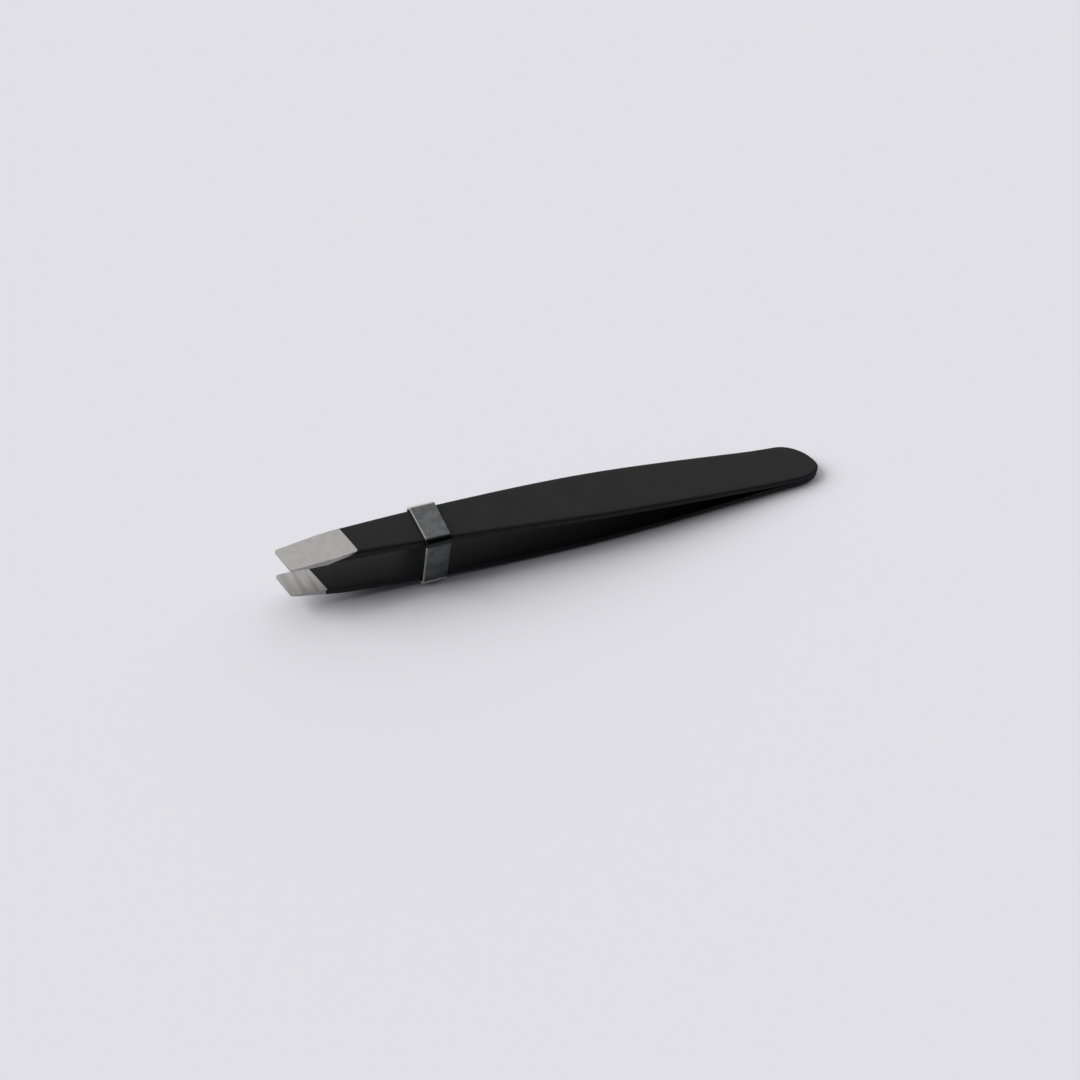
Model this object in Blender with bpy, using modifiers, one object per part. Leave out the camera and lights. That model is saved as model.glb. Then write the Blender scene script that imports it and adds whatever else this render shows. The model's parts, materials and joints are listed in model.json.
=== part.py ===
# Slanted tweezers: two bowed steel arms welded at the heel, with a folded sheet ring sliding on them.
# Sizes are in metres, +Z is up. In the tool's own frame the tip is at x = 0, the heel at x = LENGTH,
# the arms mirror each other about z = 0, and the far side of the slanted tip (+y) leads.
import math

import bmesh
import bpy
from mathutils import Vector

MM = 0.001

# Plan of one arm, stations measured from the tip
LENGTH = 95.0 * MM
TIP_WIDTH = 4.65 * MM
SHOULDER_AT = 12.2 * MM
SHOULDER_WIDTH = 6.0 * MM
WAIST_AT = 24.4 * MM
WAIST_WIDTH = 7.3 * MM
GRIP_AT = 57.0 * MM
GRIP_WIDTH = 9.8 * MM
HEEL_WIDTH = 8.45 * MM
HEEL_ROUND = 6.2 * MM
HEEL_FULLNESS_SHARE = 2.44
HEEL_LEAN_SHARE = 0.24
HEEL_TURN = math.radians(52.0)

# Side view of one arm
HEEL_JOINT = 8.65 * MM
CROWN_AT = 15.1 * MM
CROWN_HEIGHT = 4.74 * MM
FRONT_STOCK = 1.35 * MM
HEEL_STOCK = 0.9 * MM
JOINT_GAP = 0.15 * MM
NIP_LENGTH = 20.0 * MM
NIP_STOCK = 0.285 * MM
NIP_CURVE_SHARE = 1.5

# Rounded rims of the stamping
OUTER_RIM = 0.4 * MM
INNER_RIM = 0.18 * MM
RIM_STEPS = 3
RIM_ANGLE = math.radians(60.0)

# Grinding of the tip
TIP_SLANT = math.radians(16.25)
OUTER_GRIND = 10.2 * MM
INNER_GRIND = 5.2 * MM
TIP_OPENING = 5.55 * MM
TIP_EDGE = 0.3 * MM
LEADING_CORNER = 0.4 * MM
TRAILING_CORNER = 0.65 * MM
CORNER_CUTS = 3

# Sliding ring, folded from a strip with a butt seam on the far side. It lies a little askew in
# the play that it has over the arms' crowns and beside the arms.
RING_AT = 24.35 * MM
RING_LENGTH = 4.15 * MM
RING_SHEET = 0.4 * MM
RING_PLAY = 0.11 * MM
RING_SIDE_PLAY = 0.4 * MM
RING_BEND = 1.05 * MM
RING_SEAM = 0.25 * MM
RING_BURR = 0.07 * MM
RING_LEAN = math.radians(2.0)
RING_YAW = math.radians(3.6)
BURR_ANGLE = math.radians(40.0)
BEND_STEPS = 7

# Spot welds between the arms' heels
WELD_WIDTH = 2.6 * MM
WELD_BITE = 0.22 * MM
WELD_CLEARANCE = 0.05 * MM
WELD_PITCH = 3.6 * MM
WELD_COUNT = 2
WELD_SIDES = 32

# Fineness of the blank's grid, and the stock that the tip's cuts take off
ROWS = 44
HEEL_ROWS = 8
COLUMNS = 8
OVERRUN = 2.0 * MM
SAME_POINT = 0.001 * MM
SHARP_ANGLE = math.radians(24.0)

PART_NAME = "slanted_tweezers"


def clear_scene():
    for obj in list(bpy.data.objects):
        bpy.data.objects.remove(obj, do_unlink=True)


def new_collection(name):
    collection = bpy.data.collections.new(name)
    bpy.context.scene.collection.children.link(collection)
    return collection


def make_material(name, colour, metallic, roughness):
    material = bpy.data.materials.new(name)
    material.use_nodes = True
    shader = material.node_tree.nodes["Principled BSDF"]
    shader.inputs["Base Color"].default_value = (*colour, 1.0)
    shader.inputs["Metallic"].default_value = metallic
    shader.inputs["Roughness"].default_value = roughness
    return material


def black_coat():
    return make_material("black_coat", (0.026, 0.026, 0.027), 0.0, 0.42)


def ground_steel():
    return make_material("ground_steel", (0.40, 0.39, 0.375), 1.0, 0.45)


def ring_steel():
    return make_material("ring_steel", (0.17, 0.18, 0.18), 1.0, 0.38)


def weld_steel():
    return make_material("weld_steel", (0.20, 0.19, 0.18), 1.0, 0.55)


def add_object(name, bm, collection, parent, origin, materials):
    """The mesh, drawn in the tool's frame, as an object with its origin at the given point."""
    bmesh.ops.translate(bm, verts=bm.verts, vec=-origin)
    mesh = bpy.data.meshes.new(name)
    bm.to_mesh(mesh)
    bm.free()
    for material in materials:
        mesh.materials.append(material)
    obj = bpy.data.objects.new(name, mesh)
    collection.objects.link(obj)
    obj.parent = parent
    obj.location = origin
    return obj


def eased(stations, x):
    """A smooth height between stations (x, value) that never swings past a station."""
    xs = [station[0] for station in stations]
    ys = [station[1] for station in stations]
    spans = [b - a for a, b in zip(xs, xs[1:])]
    slopes = [(b - a) / span for a, b, span in zip(ys, ys[1:], spans)]
    tangents = [slopes[0]]
    for before, after in zip(slopes, slopes[1:]):
        same_way = before * after > 0
        tangents.append(2 * before * after / (before + after) if same_way else 0)
    tangents.append(slopes[-1])
    if x <= xs[0]:
        return ys[0] + tangents[0] * (x - xs[0])
    i = min(sum(x > station for station in xs[1:-1]), len(spans) - 1)
    t = min((x - xs[i]) / spans[i], 1)
    rise = ys[i] * (2 * t**3 - 3 * t**2 + 1) + ys[i + 1] * (3 * t**2 - 2 * t**3)
    lean = tangents[i] * (t**3 - 2 * t**2 + t) + tangents[i + 1] * (t**3 - t**2)
    return rise + lean * spans[i]


def half_width(x):
    """Half the blade's width in front of the rounded heel."""
    stations = [
        (0, TIP_WIDTH),
        (SHOULDER_AT, SHOULDER_WIDTH),
        (WAIST_AT, WAIST_WIDTH),
        (GRIP_AT, GRIP_WIDTH),
        (LENGTH - HEEL_ROUND, HEEL_WIDTH),
    ]
    return eased(stations, x) / 2


def outer_height(x):
    """Height of the outer face over the middle plane: flat at the heel, then a bow up to the crown."""
    heel = JOINT_GAP / 2 + HEEL_STOCK
    along = (LENGTH - HEEL_JOINT - x) / (LENGTH - HEEL_JOINT - CROWN_AT)
    along = min(max(along, 0), 1)
    return heel + (CROWN_HEIGHT - heel) * math.sin(along * math.pi / 2)


def inner_height(x):
    """Height of the inner face, which leaves more stock towards the tip.

    Behind the tip it nips in until the inner grinding has its stock to take off at the edge.
    """
    along = min(max((LENGTH - HEEL_JOINT - x) / (LENGTH - HEEL_JOINT - CROWN_AT), 0), 1)
    stock = HEEL_STOCK + (FRONT_STOCK - HEEL_STOCK) * along
    nip_depth = CROWN_HEIGHT - FRONT_STOCK - (TIP_OPENING / 2 - NIP_STOCK)
    nip = nip_depth * (max(NIP_LENGTH - x, 0) / NIP_LENGTH) ** NIP_CURVE_SHARE
    return outer_height(x) - stock - nip


def plan_point(u, v):
    """Where the blank's grid point lies: u runs from the tip's overrun to the heel, v across, both shares."""
    body_share = 1 - HEEL_ROWS / ROWS
    heel_from = LENGTH - HEEL_ROUND
    if u <= body_share:
        x = -OVERRUN + (heel_from + OVERRUN) * u / body_share
        return x, v * half_width(x)
    # The rows behind swell into the end's arc, which the last row follows from side to side.
    # The arc leans: the near side (-y) reaches further back than the far one.
    power = 2 / HEEL_FULLNESS_SHARE
    turned_share = (u - body_share) / (1 - body_share)
    turn = HEEL_TURN * turned_share
    side_x = HEEL_ROUND * math.sin(turn) ** power
    side_share = math.cos(turn) ** power
    last_x = HEEL_ROUND * math.sin(HEEL_TURN) ** power
    across = abs(v) * math.cos(HEEL_TURN) ** power
    arc_x = HEEL_ROUND * (1 - across**HEEL_FULLNESS_SHARE) ** (1 / HEEL_FULLNESS_SHARE)
    lean = 1 - HEEL_LEAN_SHARE * v * side_share
    reach = side_x + (arc_x - last_x) * turned_share
    return heel_from + reach * lean, v * side_share * HEEL_WIDTH / 2


def flat_blank():
    """The stamped blank: flat, as thick as the front stock, with its rims rounded."""
    bm = bmesh.new()
    bmesh.ops.create_grid(bm, x_segments=ROWS, y_segments=COLUMNS, size=1)
    for vert in bm.verts:
        x, y = plan_point((vert.co.x + 1) / 2, vert.co.y)
        vert.co = (x, y, 0)
    bmesh.ops.recalc_face_normals(bm, faces=bm.faces)
    raised = bmesh.ops.extrude_face_region(bm, geom=bm.faces[:])["geom"]
    top = [item for item in raised if isinstance(item, bmesh.types.BMVert)]
    bmesh.ops.translate(bm, verts=top, vec=(0, 0, FRONT_STOCK))
    bmesh.ops.recalc_face_normals(bm, faces=bm.faces)
    round_rim(bm, FRONT_STOCK, OUTER_RIM)
    round_rim(bm, 0, INNER_RIM)
    return bm


def round_rim(bm, height, radius):
    """Rounds the blank's outline edges that lie at this height."""
    edges = []
    for edge in bm.edges:
        level = all(abs(vert.co.z - height) < SAME_POINT for vert in edge.verts)
        if level and len(edge.link_faces) == 2 and edge.calc_face_angle() > RIM_ANGLE:
            edges.append(edge)
    bmesh.ops.bevel(
        bm, geom=edges, offset=radius, segments=RIM_STEPS, profile=0.5, affect="EDGES"
    )


def bend_blank(bm):
    """Bows the flat blank and brings it to its stock at each station."""
    for vert in bm.verts:
        low = inner_height(vert.co.x)
        high = outer_height(vert.co.x)
        vert.co.z = low + (high - low) * vert.co.z / FRONT_STOCK


def tip_geometry(bm):
    """The blade's front stretch, which is all that the grinding reaches."""
    verts = [vert for vert in bm.verts if vert.co.x < NIP_LENGTH]
    edges = [edge for edge in bm.edges if all(v.co.x < NIP_LENGTH for v in edge.verts)]
    faces = [face for face in bm.faces if all(v.co.x < NIP_LENGTH for v in face.verts)]
    return verts + edges + faces


def slice_off(bm, point, normal):
    """Grinds away whatever part of the tip lies on the normal's side of a plane."""
    geometry = tip_geometry(bm)
    cut = bmesh.ops.bisect_plane(
        bm, geom=geometry, plane_co=point, plane_no=normal, clear_outer=True
    )
    rim = [item for item in cut["geom_cut"] if isinstance(item, bmesh.types.BMEdge)]
    open_rim = [edge for edge in rim if edge.is_boundary]
    bmesh.ops.edgeloop_fill(bm, edges=open_rim)
    bmesh.ops.remove_doubles(bm, verts=bm.verts, dist=SAME_POINT)


def tip_plane():
    """A point on the slanted cut across the tip, and its outward normal."""
    normal = Vector((-math.cos(TIP_SLANT), -math.sin(TIP_SLANT), 0))
    return Vector((0, TIP_WIDTH / 2, 0)), normal


def behind_tip(distance, height):
    """The point this far behind the tip's cut, square to it, at a height."""
    point, normal = tip_plane()
    return point - normal * distance + Vector((0, 0, height))


def sloping_normal(low, high):
    """The upward normal of the plane that holds two lines, both along the tip's cut."""
    along = (high - low).normalized()
    _, square = tip_plane()
    cut_line = Vector((-square.y, square.x, 0))
    normal = along.cross(cut_line)
    return normal if normal.z > 0 else -normal


def round_corner(bm, side, radius):
    """Rounds one corner of the tip by cuts that touch a circle of this radius."""
    _, end_normal = tip_plane()
    flare = half_width(SHOULDER_AT) - half_width(0)
    side_normal = Vector((-flare, side * SHOULDER_AT, 0)).normalized()
    edge = Vector((0, side * half_width(0), 0))
    end_reach = end_normal.dot(tip_plane()[0]) - radius
    side_reach = side_normal.dot(edge) - radius
    cross = end_normal.x * side_normal.y - end_normal.y * side_normal.x
    centre = Vector((
        (end_reach * side_normal.y - side_reach * end_normal.y) / cross,
        (side_reach * end_normal.x - end_reach * side_normal.x) / cross,
        0,
    ))
    for cut in range(1, CORNER_CUTS + 1):
        normal = end_normal.slerp(side_normal, cut / (CORNER_CUTS + 1))
        slice_off(bm, centre + normal * radius, normal)


def grind_tip(bm):
    """Cuts the slant, rounds its corners, and grinds the outer bevel and the inner gripping face."""
    slice_off(bm, *tip_plane())
    round_corner(bm, 1, LEADING_CORNER)
    round_corner(bm, -1, TRAILING_CORNER)
    outer_edge = behind_tip(0, TIP_OPENING / 2 + TIP_EDGE)
    outer_start = behind_tip(OUTER_GRIND, CROWN_HEIGHT)
    slice_off(bm, outer_start, sloping_normal(outer_edge, outer_start))
    inner_edge = behind_tip(0, TIP_OPENING / 2)
    inner_start = behind_tip(INNER_GRIND, inner_height(INNER_GRIND))
    slice_off(bm, inner_start, -sloping_normal(inner_edge, inner_start))


def bare_tip(bm):
    """Splits the faces where the coat stops and gives those towards the tip the bare steel's slot."""
    inner_stop = behind_tip(INNER_GRIND, inner_height(INNER_GRIND))
    outer_stop = behind_tip(OUTER_GRIND, CROWN_HEIGHT)
    normal = sloping_normal(inner_stop, outer_stop)
    bmesh.ops.bisect_plane(
        bm, geom=tip_geometry(bm), plane_co=inner_stop, plane_no=normal
    )
    bmesh.ops.remove_doubles(bm, verts=bm.verts, dist=SAME_POINT)
    for face in bm.faces:
        ahead = (face.calc_center_median() - inner_stop).dot(normal) > 0
        face.material_index = 1 if ahead else 0


def shade(obj):
    obj.data.shade_smooth()
    obj.data.set_sharp_from_angle(angle=SHARP_ANGLE)


def hinge_point():
    """Where the arms part, in the middle plane."""
    return Vector((LENGTH - HEEL_JOINT, 0, 0))


def make_arm(name, side, collection, frame, materials, pockets):
    bm = flat_blank()
    bend_blank(bm)
    grind_tip(bm)
    bare_tip(bm)
    if side < 0:
        bmesh.ops.scale(bm, vec=(1, 1, side), verts=bm.verts)
        bmesh.ops.reverse_faces(bm, faces=bm.faces)
    obj = add_object(name, bm, collection, frame, hinge_point(), materials)
    for pocket in pockets:
        cut = obj.modifiers.new("weld_pocket", "BOOLEAN")
        cut.operation = "DIFFERENCE"
        cut.solver = "EXACT"
        cut.object = pocket
    shade(obj)
    return obj


def round_slug(width, height, centre):
    bm = bmesh.new()
    bmesh.ops.create_cone(
        bm, cap_ends=True, segments=WELD_SIDES, radius1=width / 2, radius2=width / 2, depth=height
    )
    bmesh.ops.translate(bm, verts=bm.verts, vec=centre)
    return bm


def weld_centre(order):
    """The welds sit in a row along the heel's joint, on either side of its middle."""
    middle = LENGTH - HEEL_JOINT / 2
    step = order - (WELD_COUNT - 1) / 2
    return Vector((middle + step * WELD_PITCH, 0, 0))


def make_weld(name, order, collection, frame, material):
    """A fused nugget that bites into both heels across the joint."""
    height = JOINT_GAP + 2 * (WELD_BITE - WELD_CLEARANCE)
    centre = weld_centre(order)
    bm = round_slug(WELD_WIDTH, height, centre)
    obj = add_object(name, bm, collection, frame, centre, [material])
    shade(obj)
    return obj


def make_pocket(name, order, cutters, frame):
    height = JOINT_GAP + 2 * WELD_BITE
    centre = weld_centre(order)
    bm = round_slug(WELD_WIDTH + 2 * WELD_CLEARANCE, height, centre)
    cutter = add_object(name, bm, cutters, frame, centre, [])
    cutter.hide_render = True
    cutter.display_type = "WIRE"
    return cutter


def ring_half_width():
    """From the middle to the ring's outer side face."""
    return half_width(RING_AT) + RING_SIDE_PLAY + RING_SHEET


def ring_half_height():
    """From the middle to the ring's outer upper face: it passes over the arms' crowns."""
    return CROWN_HEIGHT + RING_PLAY + RING_SHEET


def ring_path():
    """The strip's middle line, from one side of the seam round to the other, as (y, z) points."""
    half_y = ring_half_width() - RING_SHEET / 2
    half_z = ring_half_height() - RING_SHEET / 2
    bend = RING_BEND - RING_SHEET / 2
    points = [(half_y, RING_SEAM / 2)]
    corners = [(1, 1), (-1, 1), (-1, -1), (1, -1)]
    for turn, (y_side, z_side) in enumerate(corners):
        centre_y = y_side * (half_y - bend)
        centre_z = z_side * (half_z - bend)
        for step in range(BEND_STEPS + 1):
            angle = (turn + step / BEND_STEPS) * math.pi / 2
            points.append((centre_y + bend * math.cos(angle), centre_z + bend * math.sin(angle)))
    points.append((half_y, -RING_SEAM / 2))
    return points


def make_ring(name, collection, frame, material):
    bm = bmesh.new()
    front = RING_AT - RING_LENGTH / 2
    verts = [bm.verts.new((front, y, z)) for y, z in ring_path()]
    edges = [bm.edges.new(pair) for pair in zip(verts, verts[1:])]
    drawn = bmesh.ops.extrude_edge_only(bm, edges=edges)["geom"]
    moved = [item for item in drawn if isinstance(item, bmesh.types.BMVert)]
    bmesh.ops.translate(bm, verts=moved, vec=(RING_LENGTH, 0, 0))
    bmesh.ops.recalc_face_normals(bm, faces=bm.faces)
    obj = add_object(name, bm, collection, frame, Vector((RING_AT, 0, 0)), [material])
    obj.rotation_euler = (0, RING_LEAN, RING_YAW)
    sheet = obj.modifiers.new("sheet", "SOLIDIFY")
    sheet.thickness = RING_SHEET
    sheet.offset = 0
    sheet.use_even_offset = True
    burr = obj.modifiers.new("burr", "BEVEL")
    burr.width = RING_BURR
    burr.segments = 2
    burr.limit_method = "ANGLE"
    burr.angle_limit = BURR_ANGLE
    shade(obj)
    return obj


def world_points(obj):
    """The evaluated object's points, in the scene's frame."""
    bpy.context.view_layer.update()
    graph = bpy.context.evaluated_depsgraph_get()
    evaluated = obj.evaluated_get(graph)
    mesh = evaluated.to_mesh()
    points = [evaluated.matrix_world @ vert.co for vert in mesh.vertices]
    evaluated.to_mesh_clear()
    return points


def set_on_floor(frame, parts, lower_arm, ring):
    """Tips the tool until it lies on the ring and the heel, then centres it over its lowest point."""
    foot = min(world_points(ring), key=lambda p: (round(p.z / SAME_POINT), -p.x))
    behind = [p for p in world_points(lower_arm) if p.x > foot.x + RING_LENGTH]
    fall = min(math.atan2(p.z - foot.z, p.x - foot.x) for p in behind)
    frame.rotation_euler = (0, fall, 0)
    points = [p for part in parts for p in world_points(part)]
    lows = [min(p[axis] for p in points) for axis in range(3)]
    highs = [max(p[axis] for p in points) for axis in range(3)]
    frame.location = (-(lows[0] + highs[0]) / 2, -(lows[1] + highs[1]) / 2, -lows[2])


def build():
    clear_scene()
    collection = new_collection(PART_NAME)
    cutters = new_collection("cutters")
    cutters.hide_render = True
    frame = bpy.data.objects.new("tool_frame", None)
    collection.objects.link(frame)
    arm_materials = [black_coat(), ground_steel()]
    weld_material = weld_steel()
    orders = {"front_weld": 0, "rear_weld": 1}
    pockets = [make_pocket(name + "_pocket", order, cutters, frame) for name, order in orders.items()]
    upper = make_arm("upper_arm", 1, collection, frame, arm_materials, pockets)
    lower = make_arm("lower_arm", -1, collection, frame, arm_materials, pockets)
    ring = make_ring("sliding_ring", collection, frame, ring_steel())
    welds = [make_weld(name, order, collection, frame, weld_material) for name, order in orders.items()]
    set_on_floor(frame, [upper, lower, ring] + welds, lower, ring)


build()
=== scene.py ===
import functools
import json
import math

import bmesh
import bpy
from mathutils import Matrix, Vector


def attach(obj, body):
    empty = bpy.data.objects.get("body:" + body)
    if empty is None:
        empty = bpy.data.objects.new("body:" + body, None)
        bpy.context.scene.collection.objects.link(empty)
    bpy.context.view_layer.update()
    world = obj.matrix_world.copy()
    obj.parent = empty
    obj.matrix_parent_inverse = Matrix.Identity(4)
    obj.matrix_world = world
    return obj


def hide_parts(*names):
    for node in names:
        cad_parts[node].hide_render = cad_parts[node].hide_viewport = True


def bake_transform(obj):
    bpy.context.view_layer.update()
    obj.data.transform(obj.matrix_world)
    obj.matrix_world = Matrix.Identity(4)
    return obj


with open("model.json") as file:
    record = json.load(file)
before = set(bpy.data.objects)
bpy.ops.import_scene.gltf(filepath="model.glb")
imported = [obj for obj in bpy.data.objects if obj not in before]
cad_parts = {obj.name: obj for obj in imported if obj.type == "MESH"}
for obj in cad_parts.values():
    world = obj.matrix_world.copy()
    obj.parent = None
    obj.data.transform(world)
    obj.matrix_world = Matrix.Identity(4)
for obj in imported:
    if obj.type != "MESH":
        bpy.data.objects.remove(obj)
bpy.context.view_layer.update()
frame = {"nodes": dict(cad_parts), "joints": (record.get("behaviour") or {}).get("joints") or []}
print("frame loaded:", ", ".join(sorted(frame["nodes"])))

# Sizes are millimetres in the tool's own frame: tip at x = 0, heel at x = length, the arms
# mirror each other about z = 0, and the long side of the slanted tip is at +y.
millimetre = 0.001
# Points nearer than this count as being in one place.
touching = 0.001
plan = {
    "length": 95.0,
    "tipWidth": 4.65,
    "shoulderAt": 12.2,
    "shoulderWidth": 6.0,
    "waistAt": 24.4,
    "waistWidth": 7.3,
    "gripAt": 57.0,
    "gripWidth": 9.8,
    "heelWidth": 8.45,
    "heelRound": 6.2,
    "heelFullness": 2.44,
    "heelLean": 0.24,
    "heelTurn": math.radians(52.0),
    "leadingCorner": 0.4,
    "trailingCorner": 0.65,
    "cornerSteps": 8,
    "slantKept": 1.0,
    "squareFrom": 34.0,
    "slantSteps": 8,
    "outerRim": 0.52,
    "innerRim": 0.1,
    "rimSteps": 5,
    "rimFrom": 7.0,
    "rimAngle": 1.0,
    "wallLean": 0.75,
    "firstRow": 0.8,
    "rowStep": 0.5,
    "crowd": 0.07,
    "heelRows": 12,
    "lastTurn": 0.78,
    "heelDraw": 0.3,
    "columns": 20,
    "innerShare": 0.7,
    "sliver": 0.03,
    "sharpFrom": math.radians(28),
    "bendLead": 2.0,
    "bendEnd": 62.0,
}
bow = {
    "length": plan["length"],
    "heelJoint": 8.65,
    "heelEase": 0.06,
    "heelStock": 0.965,
    "jointGap": 0.02,
    "crownAt": 15.1,
    "crownHeight": 4.74,
    "frontStock": 1.35,
    "nipLength": 20.0,
    "nipDepth": 0.9,
    "nipCurve": 1.5,
    "tipWidth": plan["tipWidth"],
    "slant": math.radians(16.25),
    "outerGrind": 10.2,
    "innerGrind": 5.2,
    "gripFall": 0.5,
    "opening": 5.55,
    "edge": 0.3,
}
fold = {
    "at": 24.35,
    "length": 4.15,
    "width": 8.9,
    "height": 10.5,
    "sheet": 0.4,
    "bend": 1.25,
    "lean": math.radians(2.0),
    "yaw": math.radians(3.6),
    "flare": 0.16,
    "seam": 0.25,
    "burr": 0.07,
    "bendSteps": 12,
    "burrSteps": 3,
    "merge": 0.0005,
    "sharpFrom": math.radians(40),
}

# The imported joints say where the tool's frame lies in the model.
jointOf = {joint["name"]: joint for joint in frame["joints"]}
toolX = Vector(jointOf["ring_slide"]["axis"]).normalized()
toolY = Vector((0, 1, 0))
toolTurn = Matrix((toolX, toolY, toolX.cross(toolY))).transposed().to_4x4()
heelHinge = Matrix.Translation(jointOf["arm_squeeze"]["pos_m"])
toolToModel = heelHinge @ toolTurn @ Matrix.Scale(millimetre, 4)
toolToModel = toolToModel @ Matrix.Translation((bow["heelJoint"] - bow["length"], 0, 0))


def addObject(name, data):
    obj = bpy.data.objects.new(name, data)
    bpy.context.scene.collection.objects.link(obj)
    return obj


# node trees

def plug(tree, socket, value):
    if isinstance(value, bpy.types.NodeSocket):
        tree.links.new(value, socket)
    else:
        socket.default_value = value


def fill(tree, node, inputs):
    for key, value in inputs.items():
        plug(tree, node.inputs[key], value)


def addNode(tree, kind, inputs=None, **settings):
    node = tree.nodes.new(kind)
    for name, value in settings.items():
        setattr(node, name, value)
    fill(tree, node, inputs or {})
    return node


def newGroup(name, kind, inputs, outputs):
    tree = bpy.data.node_groups.new(name, kind)
    for way, sockets in (("INPUT", inputs), ("OUTPUT", outputs)):
        for label, holds in sockets.items():
            tree.interface.new_socket(label, in_out=way, socket_type="NodeSocket" + holds)
    return tree, tree.nodes.new("NodeGroupInput").outputs, tree.nodes.new("NodeGroupOutput")


def maths(tree, operation, *values, clamp=False):
    inputs = dict(enumerate(values))
    node = addNode(tree, "ShaderNodeMath", inputs, operation=operation, use_clamp=clamp)
    return node.outputs[0]


def axes(tree, vector):
    return addNode(tree, "ShaderNodeSeparateXYZ", {0: vector}).outputs


def moved(tree, geometry, *place):
    position = addNode(tree, "ShaderNodeCombineXYZ", dict(enumerate(place))).outputs[0]
    inputs = {"Geometry": geometry, "Position": position}
    return addNode(tree, "GeometryNodeSetPosition", inputs).outputs[0]


def painted(tree, geometry, material):
    real = addNode(tree, "GeometryNodeRealizeInstances", {"Geometry": geometry}).outputs[0]
    inputs = {"Geometry": real, "Material": material}
    return addNode(tree, "GeometryNodeSetMaterial", inputs).outputs[0]


def settled(obj, tree, values):
    # Runs the tree on the object once and keeps the result as its plain mesh.
    modifier = obj.modifiers.new(tree.name, "NODES")
    modifier.node_group = tree
    for item in tree.interface.items_tree:
        if item.in_out == "INPUT" and item.name in values:
            modifier[item.identifier] = values[item.name]
    graph = bpy.context.evaluated_depsgraph_get()
    made = bpy.data.meshes.new_from_object(obj.evaluated_get(graph), depsgraph=graph)
    obj.modifiers.clear()
    if obj.type == "CURVE":
        name = obj.name
        bpy.data.objects.remove(obj)
        obj = addObject(name, made)
    else:
        obj.data = made
    made.name = obj.name
    return obj


# materials

coatLook = {
    "dark": (0.0130, 0.0130, 0.0132, 1),
    "light": (0.0145, 0.0145, 0.0147, 1),
    "grain": {"fine": 9.0, "broad": 0.25},
    "toneRange": (0.35, 0.65),
    # Painted shade on the inner faces between the arms, behind the ring.
    "paintedGapShade": (0.0035, 0.0037, 0.0040, 1),
    "paintedGapShadeFrom": (20.0, 42.0),
    "dust": (0.30, 0.29, 0.28, 1),
    "specks": {"spacing": 2.2, "size": 0.09, "share": 0.2},
    "roughRange": (0.3, 0.7),
    "roughness": (0.42, 0.50),
    "gloss": 0.10,
    "bump": (0.1, 0.00002),
}
steelLook = {
    "dark": (0.275, 0.269, 0.259, 1),
    "light": (0.41, 0.402, 0.388, 1),
    "grain": {"fine": 14.0, "broad": 0.8},
    "toneRange": (0.3, 0.7),
    "tone": (0.4, 0.6),
    "streaks": (0.7, 7.0, 1.0),
    "streakTurn": math.radians(11),
    "marksFrom": (0.26, 0.72),
    "roughRange": (0.3, 0.7),
    "roughness": (0.42, 0.52),
    "bump": (0.25, 0.00003),
}
ringLook = {
    "dark": (0.074, 0.078, 0.078, 1),
    "light": (0.112, 0.117, 0.117, 1),
    "grain": {"fine": 6.0, "broad": 0.7},
    "fineShare": 0.15,
    "toneRange": (0.36, 0.64),
    # Painted highlight on the front sheared edge.
    "cut": (0.37, 0.37, 0.36, 1),
    "cutReach": 0.2,
    # Painted shade: a painted dark reflection on the near upper bend, and darker side faces.
    "paintedShade": (0.022, 0.023, 0.023, 1),
    "paintedShadeFrom": (math.radians(-14), math.radians(-4)),
    "paintedShadeTo": (math.radians(82), math.radians(60)),
    # How much of that painted shade the side faces take.
    "sideFrom": (math.radians(8), math.radians(0)),
    "paintedSideShade": 0.22,
    # Painted highlight on the other three bends.
    "paintedBendHighlight": (0.60, 0.60, 0.57, 1),
    "paintedBendHighlightFrom": (math.radians(0), math.radians(8)),
    "paintedBendHighlightTo": (math.radians(84), math.radians(72)),
    "roughRange": (0.3, 0.7),
    "roughness": (0.20, 0.28),
    # Roughness of the painted highlights.
    "paintedHighlightRoughness": 0.8,
    "bump": (0.08, 0.00003),
}


def stored(tree, name, output):
    return addNode(tree, "ShaderNodeAttribute", attribute_name=name).outputs[output]


def toolPlace(tree):
    return stored(tree, "toolPlace", "Vector")


def stretched(tree, vector, size, turned):
    # Coordinates for marks of a given length and width, turned in plan.
    inputs = {"Vector": vector, "Scale": size, "Rotation": (0, 0, turned)}
    node = addNode(tree, "ShaderNodeMapping", inputs, vector_type="TEXTURE")
    return node.outputs["Vector"]


def noise(tree, vector, scale=1.0, detail=3.0):
    inputs = {"Vector": vector, "Scale": scale, "Detail": detail}
    return addNode(tree, "ShaderNodeTexNoise", inputs).outputs["Fac"]


def ranged(tree, value, fromLow, fromHigh, toLow=0.0, toHigh=1.0):
    inputs = {"Value": value, "From Min": fromLow, "From Max": fromHigh,
              "To Min": toLow, "To Max": toHigh}
    node = addNode(tree, "ShaderNodeMapRange", inputs, interpolation_type="SMOOTHSTEP")
    return node.outputs["Result"]


def mixed(tree, factor, first, second):
    inputs = {0: factor, 6: first, 7: second}
    return addNode(tree, "ShaderNodeMix", inputs, data_type="RGBA").outputs[2]


def between(tree, factor, first, second):
    inputs = {0: factor, 2: first, 3: second}
    return addNode(tree, "ShaderNodeMix", inputs, data_type="FLOAT").outputs[0]


def bumped(tree, height, strength, distance):
    inputs = {"Strength": strength, "Distance": distance, "Height": height}
    return addNode(tree, "ShaderNodeBump", inputs).outputs["Normal"]


def placed(tree, group, values):
    inputs = {"place": toolPlace(tree), **values}
    return addNode(tree, "ShaderNodeGroup", inputs, node_tree=group).outputs


def newMaterial(name):
    material = bpy.data.materials.new(name)
    material.use_nodes = True
    return material, material.node_tree, material.node_tree.nodes["Principled BSDF"]


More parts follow.
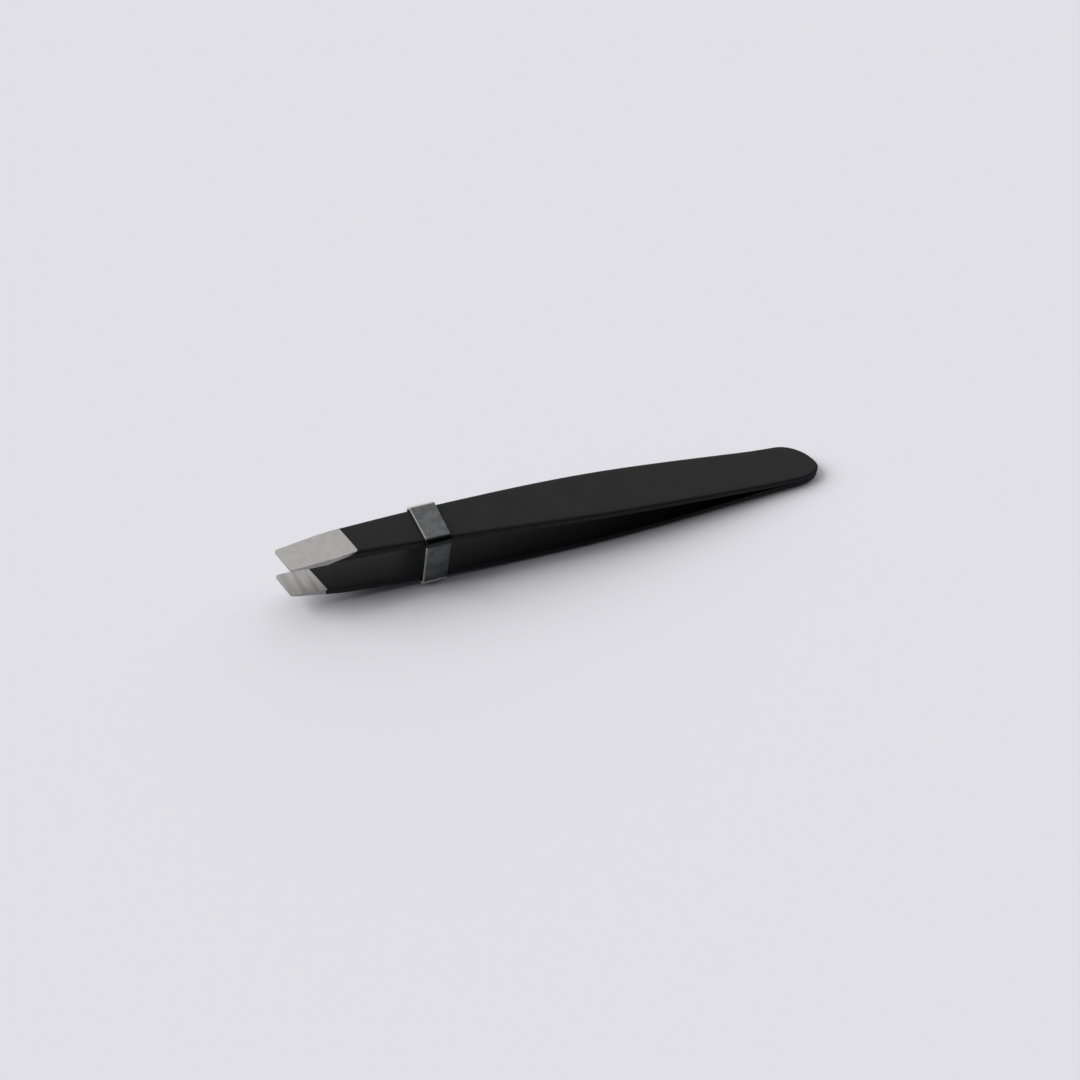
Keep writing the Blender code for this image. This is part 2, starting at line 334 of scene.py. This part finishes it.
def dustGroup():
    tree, given, result = newGroup(
        "dustSpecks", "ShaderNodeTree",
        {"place": "Vector", "spacing": "Float", "size": "Float", "share": "Float"},
        {"mask": "Float"})
    perUnit = maths(tree, "DIVIDE", 1.0, given["spacing"])
    inputs = {"Vector": given["place"], "Scale": perUnit}
    cells = addNode(tree, "ShaderNodeTexVoronoi", inputs).outputs
    away = maths(tree, "MULTIPLY", cells["Distance"], given["spacing"])
    pick = addNode(tree, "ShaderNodeSeparateColor", {"Color": cells["Color"]}).outputs
    kept = maths(tree, "LESS_THAN", pick["Red"], given["share"])
    reach = maths(tree, "MULTIPLY", given["size"], pick["Green"])
    spot = ranged(tree, away, reach, 0.0)
    fill(tree, result, {"mask": maths(tree, "MULTIPLY", spot, kept)})
    return tree


def grainGroup():
    tree, given, result = newGroup(
        "fineGrain", "ShaderNodeTree",
        {"place": "Vector", "fine": "Float", "broad": "Float"},
        {"fine": "Float", "broad": "Float"})
    fill(tree, result, {"fine": noise(tree, given["place"], given["fine"]),
                        "broad": noise(tree, given["place"], given["broad"], detail=2.0)})
    return tree


def makeCoat(dust, grain):
    material, tree, shader = newMaterial("satinBlackCoat")
    tone = placed(tree, grain, coatLook["grain"])
    share = ranged(tree, tone["broad"], *coatLook["toneRange"])
    colour = mixed(tree, share, coatLook["dark"], coatLook["light"])
    # Between the arms, behind the ring, the coat is painted blacker: painted shade where the arms
    # shade each other.
    behind = ranged(tree, axes(tree, toolPlace(tree))["X"], *coatLook["paintedGapShadeFrom"])
    paintedGapShade = maths(tree, "MULTIPLY", stored(tree, "inward", "Fac"), behind)
    colour = mixed(tree, paintedGapShade, colour, coatLook["paintedGapShade"])
    specks = placed(tree, dust, coatLook["specks"])
    rough = ranged(tree, tone["fine"], *coatLook["roughRange"], *coatLook["roughness"])
    fill(tree, shader, {"Base Color": mixed(tree, specks["mask"], colour, coatLook["dust"]),
                        "Specular IOR Level": coatLook["gloss"],
                        "Roughness": rough,
                        "Normal": bumped(tree, tone["fine"], *coatLook["bump"])})
    return material


def makeSteel(grain):
    # The bevel is even; the gripping face keeps the grinding's marks, nearly along the cut.
    material, tree, shader = newMaterial("groundSteel")
    place = toolPlace(tree)
    height = maths(tree, "ABSOLUTE", axes(tree, place)["Z"])
    tipInner = bow["opening"] / 2
    grip = ranged(tree, height, tipInner + bow["edge"], tipInner + bow["edge"] / 2)
    streaks = noise(tree, stretched(tree, place, steelLook["streaks"], steelLook["streakTurn"]))
    marks = ranged(tree, streaks, *steelLook["marksFrom"])
    tone = placed(tree, grain, steelLook["grain"])
    even = ranged(tree, tone["broad"], *steelLook["toneRange"], *steelLook["tone"])
    shade = between(tree, grip, even, marks)
    rough = ranged(tree, streaks, *steelLook["roughRange"], *steelLook["roughness"])
    fill(tree, shader, {"Base Color": mixed(tree, shade, steelLook["dark"], steelLook["light"]),
                        "Metallic": 1.0,
                        "Roughness": rough,
                        "Normal": bumped(tree, streaks, *steelLook["bump"])})
    return material


def makeRingSteel(grain):
    material, tree, shader = newMaterial("foldedSheet")
    calc = functools.partial(maths, tree)
    x, y, z = axes(tree, toolPlace(tree))
    tone = placed(tree, grain, ringLook["grain"])
    broad = calc("MULTIPLY", tone["broad"], 1 - ringLook["fineShare"])
    mottle = calc("MULTIPLY_ADD", tone["fine"], ringLook["fineShare"], broad)
    share = ranged(tree, mottle, *ringLook["toneRange"])
    face = mixed(tree, share, ringLook["dark"], ringLook["light"])
    # The turn round a bend goes from nothing at the side to a quarter turn above or below.
    outward = calc("SUBTRACT", calc("ABSOLUTE", y), fold["width"] / 2 - fold["bend"])
    upward = calc("SUBTRACT", calc("ABSOLUTE", z), fold["height"] / 2 - fold["bend"])
    around = calc("ARCTAN2", upward, outward)
    # The side faces are painted a little darker, as painted shade.
    side = ranged(tree, around, *ringLook["sideFrom"])
    face = mixed(tree, calc("MULTIPLY", side, ringLook["paintedSideShade"]), face, ringLook["paintedShade"])
    # The sheared edge that faces the tips is painted bright, a painted highlight.
    front = fold["at"] - fold["length"] / 2
    cut = ranged(tree, x, front + ringLook["cutReach"], front)
    face = mixed(tree, cut, face, ringLook["cut"])
    # One upper bend is painted dark, a painted dark reflection, and the other three bends are
    # painted bright, a painted highlight.
    paintedShadeBend = calc("MULTIPLY", calc("LESS_THAN", y, 0.0), calc("GREATER_THAN", z, 0.0))
    for kind, here in (("paintedShade", paintedShadeBend), ("paintedBendHighlight", calc("SUBTRACT", 1.0, paintedShadeBend))):
        rising = ranged(tree, around, *ringLook[kind + "From"])
        falling = ranged(tree, around, *ringLook[kind + "To"])
        band = calc("MULTIPLY", calc("MULTIPLY", rising, falling), here)
        face = mixed(tree, band, face, ringLook[kind])
    smooth = ranged(tree, tone["fine"], *ringLook["roughRange"], *ringLook["roughness"])
    # The painted highlights are rougher too.
    paintedHighlightMask = calc("MAXIMUM", cut, band)
    fill(tree, shader, {"Base Color": face,
                        "Metallic": 1.0,
                        "Roughness": between(tree, paintedHighlightMask, smooth, ringLook["paintedHighlightRoughness"]),
                        "Normal": bumped(tree, tone["fine"], *ringLook["bump"])})
    return material


dust, grain = dustGroup(), grainGroup()
coat, steel, sheetSteel = makeCoat(dust, grain), makeSteel(grain), makeRingSteel(grain)
print("materials made")


# the blades: a flat blank with rounded rims, then a node tree that bows and grinds it

def eased(stations, x):
    # A smooth value between stations that never swings past one.
    xs, ys = zip(*stations)
    spans = [b - a for a, b in zip(xs, xs[1:])]
    slopes = [(b - a) / span for a, b, span in zip(ys, ys[1:], spans)]
    tangents = [slopes[0]]
    for before, after in zip(slopes, slopes[1:]):
        tangents.append(2 * before * after / (before + after) if before * after > 0 else 0)
    tangents.append(slopes[-1])
    if x <= xs[0]:
        return ys[0] + tangents[0] * (x - xs[0])
    i = min(sum(x > station for station in xs[1:-1]), len(spans) - 1)
    t = min((x - xs[i]) / spans[i], 1)
    rise = ys[i] * (2 * t**3 - 3 * t**2 + 1) + ys[i + 1] * (3 * t**2 - 2 * t**3)
    lean = tangents[i] * (t**3 - 2 * t**2 + t) + tangents[i + 1] * (t**3 - t**2)
    return rise + lean * spans[i]


def halfWidth(x):
    stations = [(0, plan["tipWidth"]), (plan["shoulderAt"], plan["shoulderWidth"]),
                (plan["waistAt"], plan["waistWidth"]), (plan["gripAt"], plan["gripWidth"]),
                (plan["length"] - plan["heelRound"], plan["heelWidth"])]
    return eased(stations, x) / 2


def rowStations():
    # Rows crowd beside the two grinding lines, and the first leaves room for the rounded corners.
    stations = [plan["firstRow"]]
    for line in (bow["innerGrind"], bow["outerGrind"]):
        middle = line / math.cos(bow["slant"])
        stations += [middle - plan["crowd"], middle, middle + plan["crowd"]]
    stations.append(plan["length"] - plan["heelRound"])
    stations.sort()
    rows = [0]
    for a, b in zip(stations, stations[1:]):
        parts = max(1, round((b - a) / plan["rowStep"]))
        rows += [a + (b - a) * part / parts for part in range(parts)]
    return rows + [stations[-1]]


def bladePoint(s, v):
    # Rows lie along the slanted cut at the tip and turn square further back.
    slantedTo = bow["outerGrind"] + plan["slantKept"]
    t = min(max((s - slantedTo) / (plan["squareFrom"] - slantedTo), 0), 1)
    slantShare = 1 - t * t * (3 - 2 * t)
    x = s
    for _ in range(plan["slantSteps"]):
        y = v * halfWidth(x)
        x = s + slantShare * (plan["tipWidth"] / 2 - y) * math.tan(bow["slant"])
    return Vector((x, y, 0))


def heelPoint(turned, v):
    # The last rows swell into the rounded end.
    power = 2 / plan["heelFullness"]
    angle = plan["heelTurn"] * turned
    sideX = plan["heelRound"] * math.sin(angle) ** power
    sideY = plan["heelWidth"] / 2 * math.cos(angle) ** power
    lastX = plan["heelRound"] * math.sin(plan["heelTurn"]) ** power
    across = abs(v) * math.cos(plan["heelTurn"]) ** power
    arcX = plan["heelRound"] * (1 - across ** plan["heelFullness"]) ** (1 / plan["heelFullness"])
    lean = 1 - plan["heelLean"] * v * math.cos(angle) ** power
    reach = (sideX + (arcX - lastX) * turned) * lean
    return Vector((plan["length"] - plan["heelRound"] + reach, v * sideY, 0))


def roundEdges(bm, edges, reach, steps):
    bmesh.ops.bevel(bm, geom=edges, offset=reach, segments=steps, profile=0.5, affect="EDGES")


def roundCorner(bm, side, radius):
    # Rounds the upright edge at one end of the slanted cut.
    corner = bladePoint(0, side)
    upright = [edge for edge in bm.edges
               if all((vert.co.xy - corner.xy).length < touching for vert in edge.verts)]
    flare = math.atan((halfWidth(plan["shoulderAt"]) - halfWidth(0)) / plan["shoulderAt"])
    angle = math.pi / 2 - side * bow["slant"] + flare
    roundEdges(bm, upright, radius / math.tan(angle / 2), plan["cornerSteps"])


def flatBlank():
    bm = bmesh.new()
    inner = plan["columns"] - 2
    shares = [plan["innerShare"] * (2 * column / inner - 1) for column in range(inner + 1)]
    shares = [-1, *shares, 1]
    rows = [[bladePoint(s, v) for v in shares] for s in rowStations()]
    for step in range(1, plan["heelRows"] + 1):
        # Points inside the outline draw in, clear of the rim's rounding.
        turned = plan["lastTurn"] * step / plan["heelRows"]
        drawn = 1 - plan["heelDraw"] * turned
        rows.append([heelPoint(turned, v if abs(v) == 1 else v * drawn) for v in shares])
    rows.append([heelPoint(1, v) for v in shares])
    grid = [[bm.verts.new(point) for point in row] for row in rows]
    for front, back in zip(grid, grid[1:]):
        for j in range(plan["columns"]):
            bm.faces.new((front[j], back[j], back[j + 1], front[j + 1]))
    raised = bmesh.ops.extrude_face_region(bm, geom=bm.faces[:])["geom"]
    top = [item for item in raised if isinstance(item, bmesh.types.BMVert)]
    bmesh.ops.translate(bm, verts=top, vec=(0, 0, bow["frontStock"]))
    bmesh.ops.recalc_face_normals(bm, faces=bm.faces)
    roundCorner(bm, 1, plan["leadingCorner"])
    roundCorner(bm, -1, plan["trailingCorner"])
    for height, radius in ((bow["frontStock"], plan["outerRim"]), (0, plan["innerRim"])):
        # The tip's own edges stay crisp, as the grinding leaves them.
        level = [edge for edge in bm.edges
                 if all(abs(vert.co.z - height) < touching and vert.co.x > plan["rimFrom"]
                        for vert in edge.verts)]
        rim = [edge for edge in level if edge.calc_face_angle() > plan["rimAngle"]]
        roundEdges(bm, rim, radius, plan["rimSteps"])
    return bm


def bowTree():
    tree, size, result = newGroup(
        "bowAndGrind", "GeometryNodeTree",
        {"Geometry": "Geometry", **dict.fromkeys(bow, "Float"),
         "side": "Float", "coat": "Material"},
        {"Geometry": "Geometry"})
    calc = functools.partial(maths, tree)

    def heights(x):
        # Outer and inner face at a station: flat heel, quarter-sine bow, nip towards the tip.
        # The bow starts from the heel in a short easing curve.
        reach = calc("SUBTRACT", size["length"], size["heelJoint"])
        span = calc("SUBTRACT", reach, size["crownAt"])
        ahead = calc("DIVIDE", calc("SUBTRACT", reach, x), span)
        width = calc("MULTIPLY", size["heelEase"], 2.0)
        soft = calc("DIVIDE", calc("ADD", ahead, size["heelEase"]), width, clamp=True)
        soft = calc("MULTIPLY", calc("MULTIPLY", soft, soft), size["heelEase"])
        along = calc("MINIMUM", calc("MAXIMUM", ahead, soft), 1.0)
        heel = calc("MULTIPLY_ADD", size["jointGap"], 0.5, size["heelStock"])
        rise = calc("SINE", calc("MULTIPLY", along, math.pi / 2))
        outer = calc("MULTIPLY_ADD", calc("SUBTRACT", size["crownHeight"], heel), rise, heel)
        more = calc("SUBTRACT", size["frontStock"], size["heelStock"])
        stock = calc("MULTIPLY_ADD", more, along, size["heelStock"])
        nipped = calc("SUBTRACT", size["nipLength"], x)
        nipped = calc("DIVIDE", nipped, size["nipLength"], clamp=True)
        nip = calc("MULTIPLY", calc("POWER", nipped, size["nipCurve"]), size["nipDepth"])
        return outer, calc("SUBTRACT", calc("SUBTRACT", outer, stock), nip)

    x, y, z = axes(tree, addNode(tree, "GeometryNodeInputPosition").outputs[0])
    outer, inner = heights(x)
    lift = calc("DIVIDE", z, size["frontStock"])
    bowed = calc("MULTIPLY_ADD", calc("SUBTRACT", outer, inner), lift, inner)

    # How far behind the slanted cut a point lies, and the two ground faces there.
    halfTip = calc("MULTIPLY", size["tipWidth"], 0.5)
    across = calc("MULTIPLY", calc("SUBTRACT", y, halfTip), calc("SINE", size["slant"]))
    behind = calc("MULTIPLY_ADD", x, calc("COSINE", size["slant"]), across)
    tipInner = calc("MULTIPLY", size["opening"], 0.5)
    tipOuter = calc("ADD", tipInner, size["edge"])
    fall = calc("DIVIDE", calc("SUBTRACT", size["crownHeight"], tipOuter), size["outerGrind"])
    bevel = calc("MULTIPLY_ADD", behind, fall, tipOuter)
    _, innerStart = heights(size["innerGrind"])
    rise = calc("DIVIDE", calc("SUBTRACT", innerStart, tipInner), size["innerGrind"])
    grip = calc("MULTIPLY_ADD", behind, rise, tipInner)
    past = calc("MAXIMUM", calc("SUBTRACT", behind, size["innerGrind"]), 0.0)
    grip = calc("SUBTRACT", grip, calc("MULTIPLY", past, size["gripFall"]))
    ground = calc("MAXIMUM", calc("MINIMUM", bowed, bevel), grip)

    bent = moved(tree, size["Geometry"], x, y, calc("MULTIPLY", ground, size["side"]))
    inputs = {"Mesh": bent, "Selection": calc("LESS_THAN", size["side"], 0.0)}
    flipped = addNode(tree, "GeometryNodeFlipFaces", inputs).outputs[0]
    fill(tree, result, {"Geometry": painted(tree, flipped, size["coat"])})
    return tree


def innerHeight(x):
    reach = bow["length"] - bow["heelJoint"]
    along = min(max((reach - x) / (reach - bow["crownAt"]), 0), 1)
    heel = bow["jointGap"] / 2 + bow["heelStock"]
    outer = heel + (bow["crownHeight"] - heel) * math.sin(along * math.pi / 2)
    nipped = max(bow["nipLength"] - x, 0) / bow["nipLength"]
    stock = bow["heelStock"] + (bow["frontStock"] - bow["heelStock"]) * along
    return outer - stock - bow["nipDepth"] * nipped ** bow["nipCurve"]


def bareTip(mesh, side):
    # Cuts the mesh where the coat stops and gives what lies ahead the ground steel.
    bm = bmesh.new()
    bm.from_mesh(mesh)
    ahead = Vector((-math.cos(bow["slant"]), -math.sin(bow["slant"]), 0))
    start = Vector((0, bow["tipWidth"] / 2, 0))
    innerLine = Vector((0, 0, side * innerHeight(bow["innerGrind"])))
    low = start - ahead * bow["innerGrind"] + innerLine
    high = start - ahead * bow["outerGrind"] + Vector((0, 0, side * bow["crownHeight"]))
    normal = (high - low).cross(Vector((-ahead.y, ahead.x, 0))).normalized()
    if normal.x > 0:
        normal = -normal
    # The grinding leaves slivers where the rounded rim was, which go first.
    verts = [vert for vert in bm.verts if vert.co.x < bow["nipLength"]]
    bmesh.ops.remove_doubles(bm, verts=verts, dist=plan["sliver"])
    faces = [face for face in bm.faces if face.calc_center_median().x < bow["nipLength"]]
    touched = {item for face in faces for item in (*face.verts, *face.edges)}
    bmesh.ops.bisect_plane(bm, geom=[*touched, *faces], plane_co=low, plane_no=normal,
                           dist=touching)
    for face in bm.faces:
        middle = face.calc_center_median()
        bare = (middle - low).dot(normal) > 0 and middle.x < bow["nipLength"]
        # The lower blade's coat reaches further along its walls.
        wall = side < 0 and abs(face.normal.y) > plan["wallLean"]
        coated = wall and (start - middle).dot(ahead) > bow["innerGrind"]
        face.material_index = 1 if bare and not coated else 0
    bm.to_mesh(mesh)
    bm.free()


def finishMesh(obj, materials, sharp, turn=None):
    mesh = obj.data
    for material in materials:
        if material.name not in mesh.materials:
            mesh.materials.append(material)
    place = mesh.attributes.new("toolPlace", "FLOAT_VECTOR", "POINT")
    place.data.foreach_set("vector", [c for vert in mesh.vertices for c in vert.co])
    mesh.transform(toolToModel @ turn if turn else toolToModel)
    mesh.shade_smooth()
    mesh.set_sharp_from_angle(angle=sharp)


def makeBlade(name, node, side, tree):
    blank = flatBlank()
    mesh = bpy.data.meshes.new(name)
    blank.to_mesh(mesh)
    blank.free()
    obj = settled(addObject(name, mesh), tree, {**bow, "side": side, "coat": coat})
    bareTip(obj.data, side)
    inward = obj.data.attributes.new("inward", "FLOAT", "POINT")
    facing = [max(-side * vert.normal.z, 0) for vert in obj.data.vertices]
    inward.data.foreach_set("value", facing)
    finishMesh(obj, [coat, steel], plan["sharpFrom"])
    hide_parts(node)
    return obj


bowing = bowTree()
lowerBlade = makeBlade("lowerBlade", "lower_arm", -1.0, bowing)
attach(lowerBlade, "lower_blade")
upperBlade = makeBlade("upperBlade", "upper_arm", 1.0, bowing)
# The real arms are joined at the heel and bend in front of it.
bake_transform(upperBlade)
print("blades made:", len(lowerBlade.data.polygons), "faces each")


# the ring: a strip folded round the arms, its ends meeting on the far side

def foldPath():
    halfY = (fold["width"] - fold["sheet"]) / 2
    halfZ = (fold["height"] - fold["sheet"]) / 2
    bend = fold["bend"] - fold["sheet"] / 2
    points = [(halfY, fold["seam"] / 2)]
    for quarter, (sideY, sideZ) in enumerate(((1, 1), (-1, 1), (-1, -1), (1, -1))):
        for step in range(fold["bendSteps"] + 1):
            angle = (quarter + step / fold["bendSteps"]) * math.pi / 2
            points.append((sideY * (halfY - bend) + bend * math.cos(angle),
                           sideZ * (halfZ - bend) + bend * math.sin(angle)))
    return points + [(halfY, -fold["seam"] / 2)]


foldSizes = {**dict.fromkeys(("length", "width", "sheet", "burr", "flare", "at"), "Float"),
             "burrSteps": "Int"}


def foldTree():
    tree, size, result = newGroup(
        "foldedStrip", "GeometryNodeTree",
        {"Geometry": "Geometry", **foldSizes, "steel": "Material"},
        {"Geometry": "Geometry"})
    calc = functools.partial(maths, tree)
    inputs = {"Width": size["sheet"], "Height": size["length"]}
    flat = addNode(tree, "GeometryNodeCurvePrimitiveQuadrilateral", inputs).outputs[0]
    inputs = {"Curve": flat, "Radius": size["burr"], "Count": size["burrSteps"]}
    soft = addNode(tree, "GeometryNodeFilletCurve", inputs, mode="POLY").outputs[0]
    inputs = {"Curve": size["Geometry"]}
    level = addNode(tree, "GeometryNodeSetCurveNormal", inputs, mode="Z_UP").outputs[0]
    inputs = {"Curve": level, "Profile Curve": soft, "Fill Caps": True}
    swept = addNode(tree, "GeometryNodeCurveToMesh", inputs).outputs[0]
    # The path is drawn flat, as (y, z, 0), and stands up across the tool here.
    y, z, x = axes(tree, addNode(tree, "GeometryNodeInputPosition").outputs[0])
    # Its rear edge flares a little towards the far side.
    farShare = calc("DIVIDE", y, calc("MULTIPLY", size["width"], 0.5), clamp=True)
    behind = calc("MULTIPLY", calc("MAXIMUM", x, 0.0), size["flare"])
    flared = calc("MULTIPLY_ADD", behind, calc("MULTIPLY", farShare, farShare), x)
    stood = moved(tree, swept, calc("ADD", flared, size["at"]), y, z)
    fill(tree, result, {"Geometry": painted(tree, stood, size["steel"])})
    return tree


def makeRing():
    path = bpy.data.curves.new("foldedRing", "CURVE")
    path.dimensions = "3D"
    points = foldPath()
    spline = path.splines.new("POLY")
    spline.points.add(len(points) - 1)
    for point, (y, z) in zip(spline.points, points):
        point.co = (y, z, 0, 1)
    sizes = {name: fold[name] for name in foldSizes}
    obj = settled(addObject("foldedRing", path), foldTree(), {**sizes, "steel": sheetSteel})
    bm = bmesh.new()
    bm.from_mesh(obj.data)
    bmesh.ops.remove_doubles(bm, verts=bm.verts, dist=fold["merge"])
    bmesh.ops.recalc_face_normals(bm, faces=bm.faces)
    bm.to_mesh(obj.data)
    bm.free()
    # It lies a little askew on the arms.
    middle = Matrix.Translation((fold["at"], 0, 0))
    askew = Matrix.Rotation(fold["yaw"], 4, "Z") @ Matrix.Rotation(fold["lean"], 4, "Y")
    finishMesh(obj, [sheetSteel], fold["sharpFrom"], middle @ askew @ middle.inverted())
    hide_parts("sliding_ring")
    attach(obj, "ring")
    return obj


foldedRing = makeRing()
print("ring made:", len(foldedRing.data.polygons), "faces")

# The hidden weld nuggets keep the frame's shape, in the ring's steel.
for name in ("front_weld", "rear_weld"):
    nugget = frame["nodes"][name]
    nugget.data.materials.clear()
    nugget.data.materials.append(sheetSteel)


# stage, light and camera

stage = {
    "floorSize": 6.0,
    "floorColour": (0.752, 0.745, 0.783, 1),
    "floorRoughness": 0.9,
    "paleSky": (1.08, 1.08, 1.09, 1),
    "dimSky": (0.05, 0.05, 0.052, 1),
    "paleSkyWay": (0.30, 0.66, 0.69),
    "skyTurn": (0.40, 0.85),
}
lamps = {
    "keyLamp": {"way": (-0.75, 0.35, 0.56), "spread": math.radians(46), "strength": 2.9},
}
look = {
    "azimuth": math.radians(-27.33),
    "elevation": math.radians(46.89),
    "roll": math.radians(8.36),
    "distance": 251.1,
    "aim": (-3.32, -4.24),
    "focus": 1518.6,
    "frame": 1080,
    "sensor": 36.0,
    "nearest": 0.01,
}


def makeFloor():
    half = stage["floorSize"] / 2
    corners = [(-half, -half, 0), (half, -half, 0), (half, half, 0), (-half, half, 0)]
    mesh = bpy.data.meshes.new("floor")
    mesh.from_pydata(corners, [], [(0, 1, 2, 3)])
    floor = addObject("floor", mesh)
    material, tree, shader = newMaterial("paleFloor")
    fill(tree, shader, {"Base Color": stage["floorColour"],
                        "Roughness": stage["floorRoughness"],
                        "Specular IOR Level": 0.0})
    mesh.materials.append(material)


def makeLamp(name, way, spread, strength):
    # A broad, distant light, so that the floor is even.
    lamp = bpy.data.lights.new(name, "SUN")
    lamp.angle = spread
    lamp.energy = strength
    obj = addObject(name, lamp)
    obj.location = Vector(way).normalized()
    obj.rotation_euler = (-Vector(way)).to_track_quat("-Z", "Y").to_euler()


def makeWorld():
    # A room that is pale behind the tool and above it, and dim in front.
    world = bpy.data.worlds.new("studio")
    world.use_nodes = True
    tree = world.node_tree
    inputs = {0: addNode(tree, "ShaderNodeTexCoord").outputs["Generated"],
              1: Vector(stage["paleSkyWay"]).normalized()}
    facing = addNode(tree, "ShaderNodeVectorMath", inputs, operation="DOT_PRODUCT")
    pale = ranged(tree, facing.outputs["Value"], *stage["skyTurn"])
    sky = mixed(tree, pale, stage["dimSky"], stage["paleSky"])
    fill(tree, tree.nodes["Background"], {"Color": sky})
    bpy.context.scene.world = world


def makeCamera():
    azimuth, elevation, roll = look["azimuth"], look["elevation"], look["roll"]
    level = Vector((math.cos(azimuth), math.sin(azimuth), 0))
    toward = Vector((math.sin(azimuth), -math.cos(azimuth), 0))
    back = toward * math.cos(elevation) + Vector((0, 0, math.sin(elevation)))
    above = back.cross(level)
    right = level * math.cos(roll) + above * math.sin(roll)
    up = above * math.cos(roll) - level * math.sin(roll)
    place = Vector((bow["length"] / 2, 0, 0)) + back * look["distance"]
    place += right * look["aim"][0] + up * look["aim"][1]
    camera = bpy.data.cameras.new("camera")
    camera.sensor_width = look["sensor"]
    camera.lens = look["focus"] / look["frame"] * camera.sensor_width
    camera.clip_start = look["nearest"]
    obj = addObject("camera", camera)
    turned = toolTurn @ Matrix((right, up, back)).transposed().to_4x4()
    obj.matrix_world = Matrix.Translation(toolToModel @ place) @ turned
    bpy.context.scene.camera = obj


makeFloor()
makeWorld()
for name, lamp in lamps.items():
    makeLamp(name, **lamp)
makeCamera()
bpy.context.scene.view_settings.view_transform = "Standard"
print("stage, lamps and camera set")
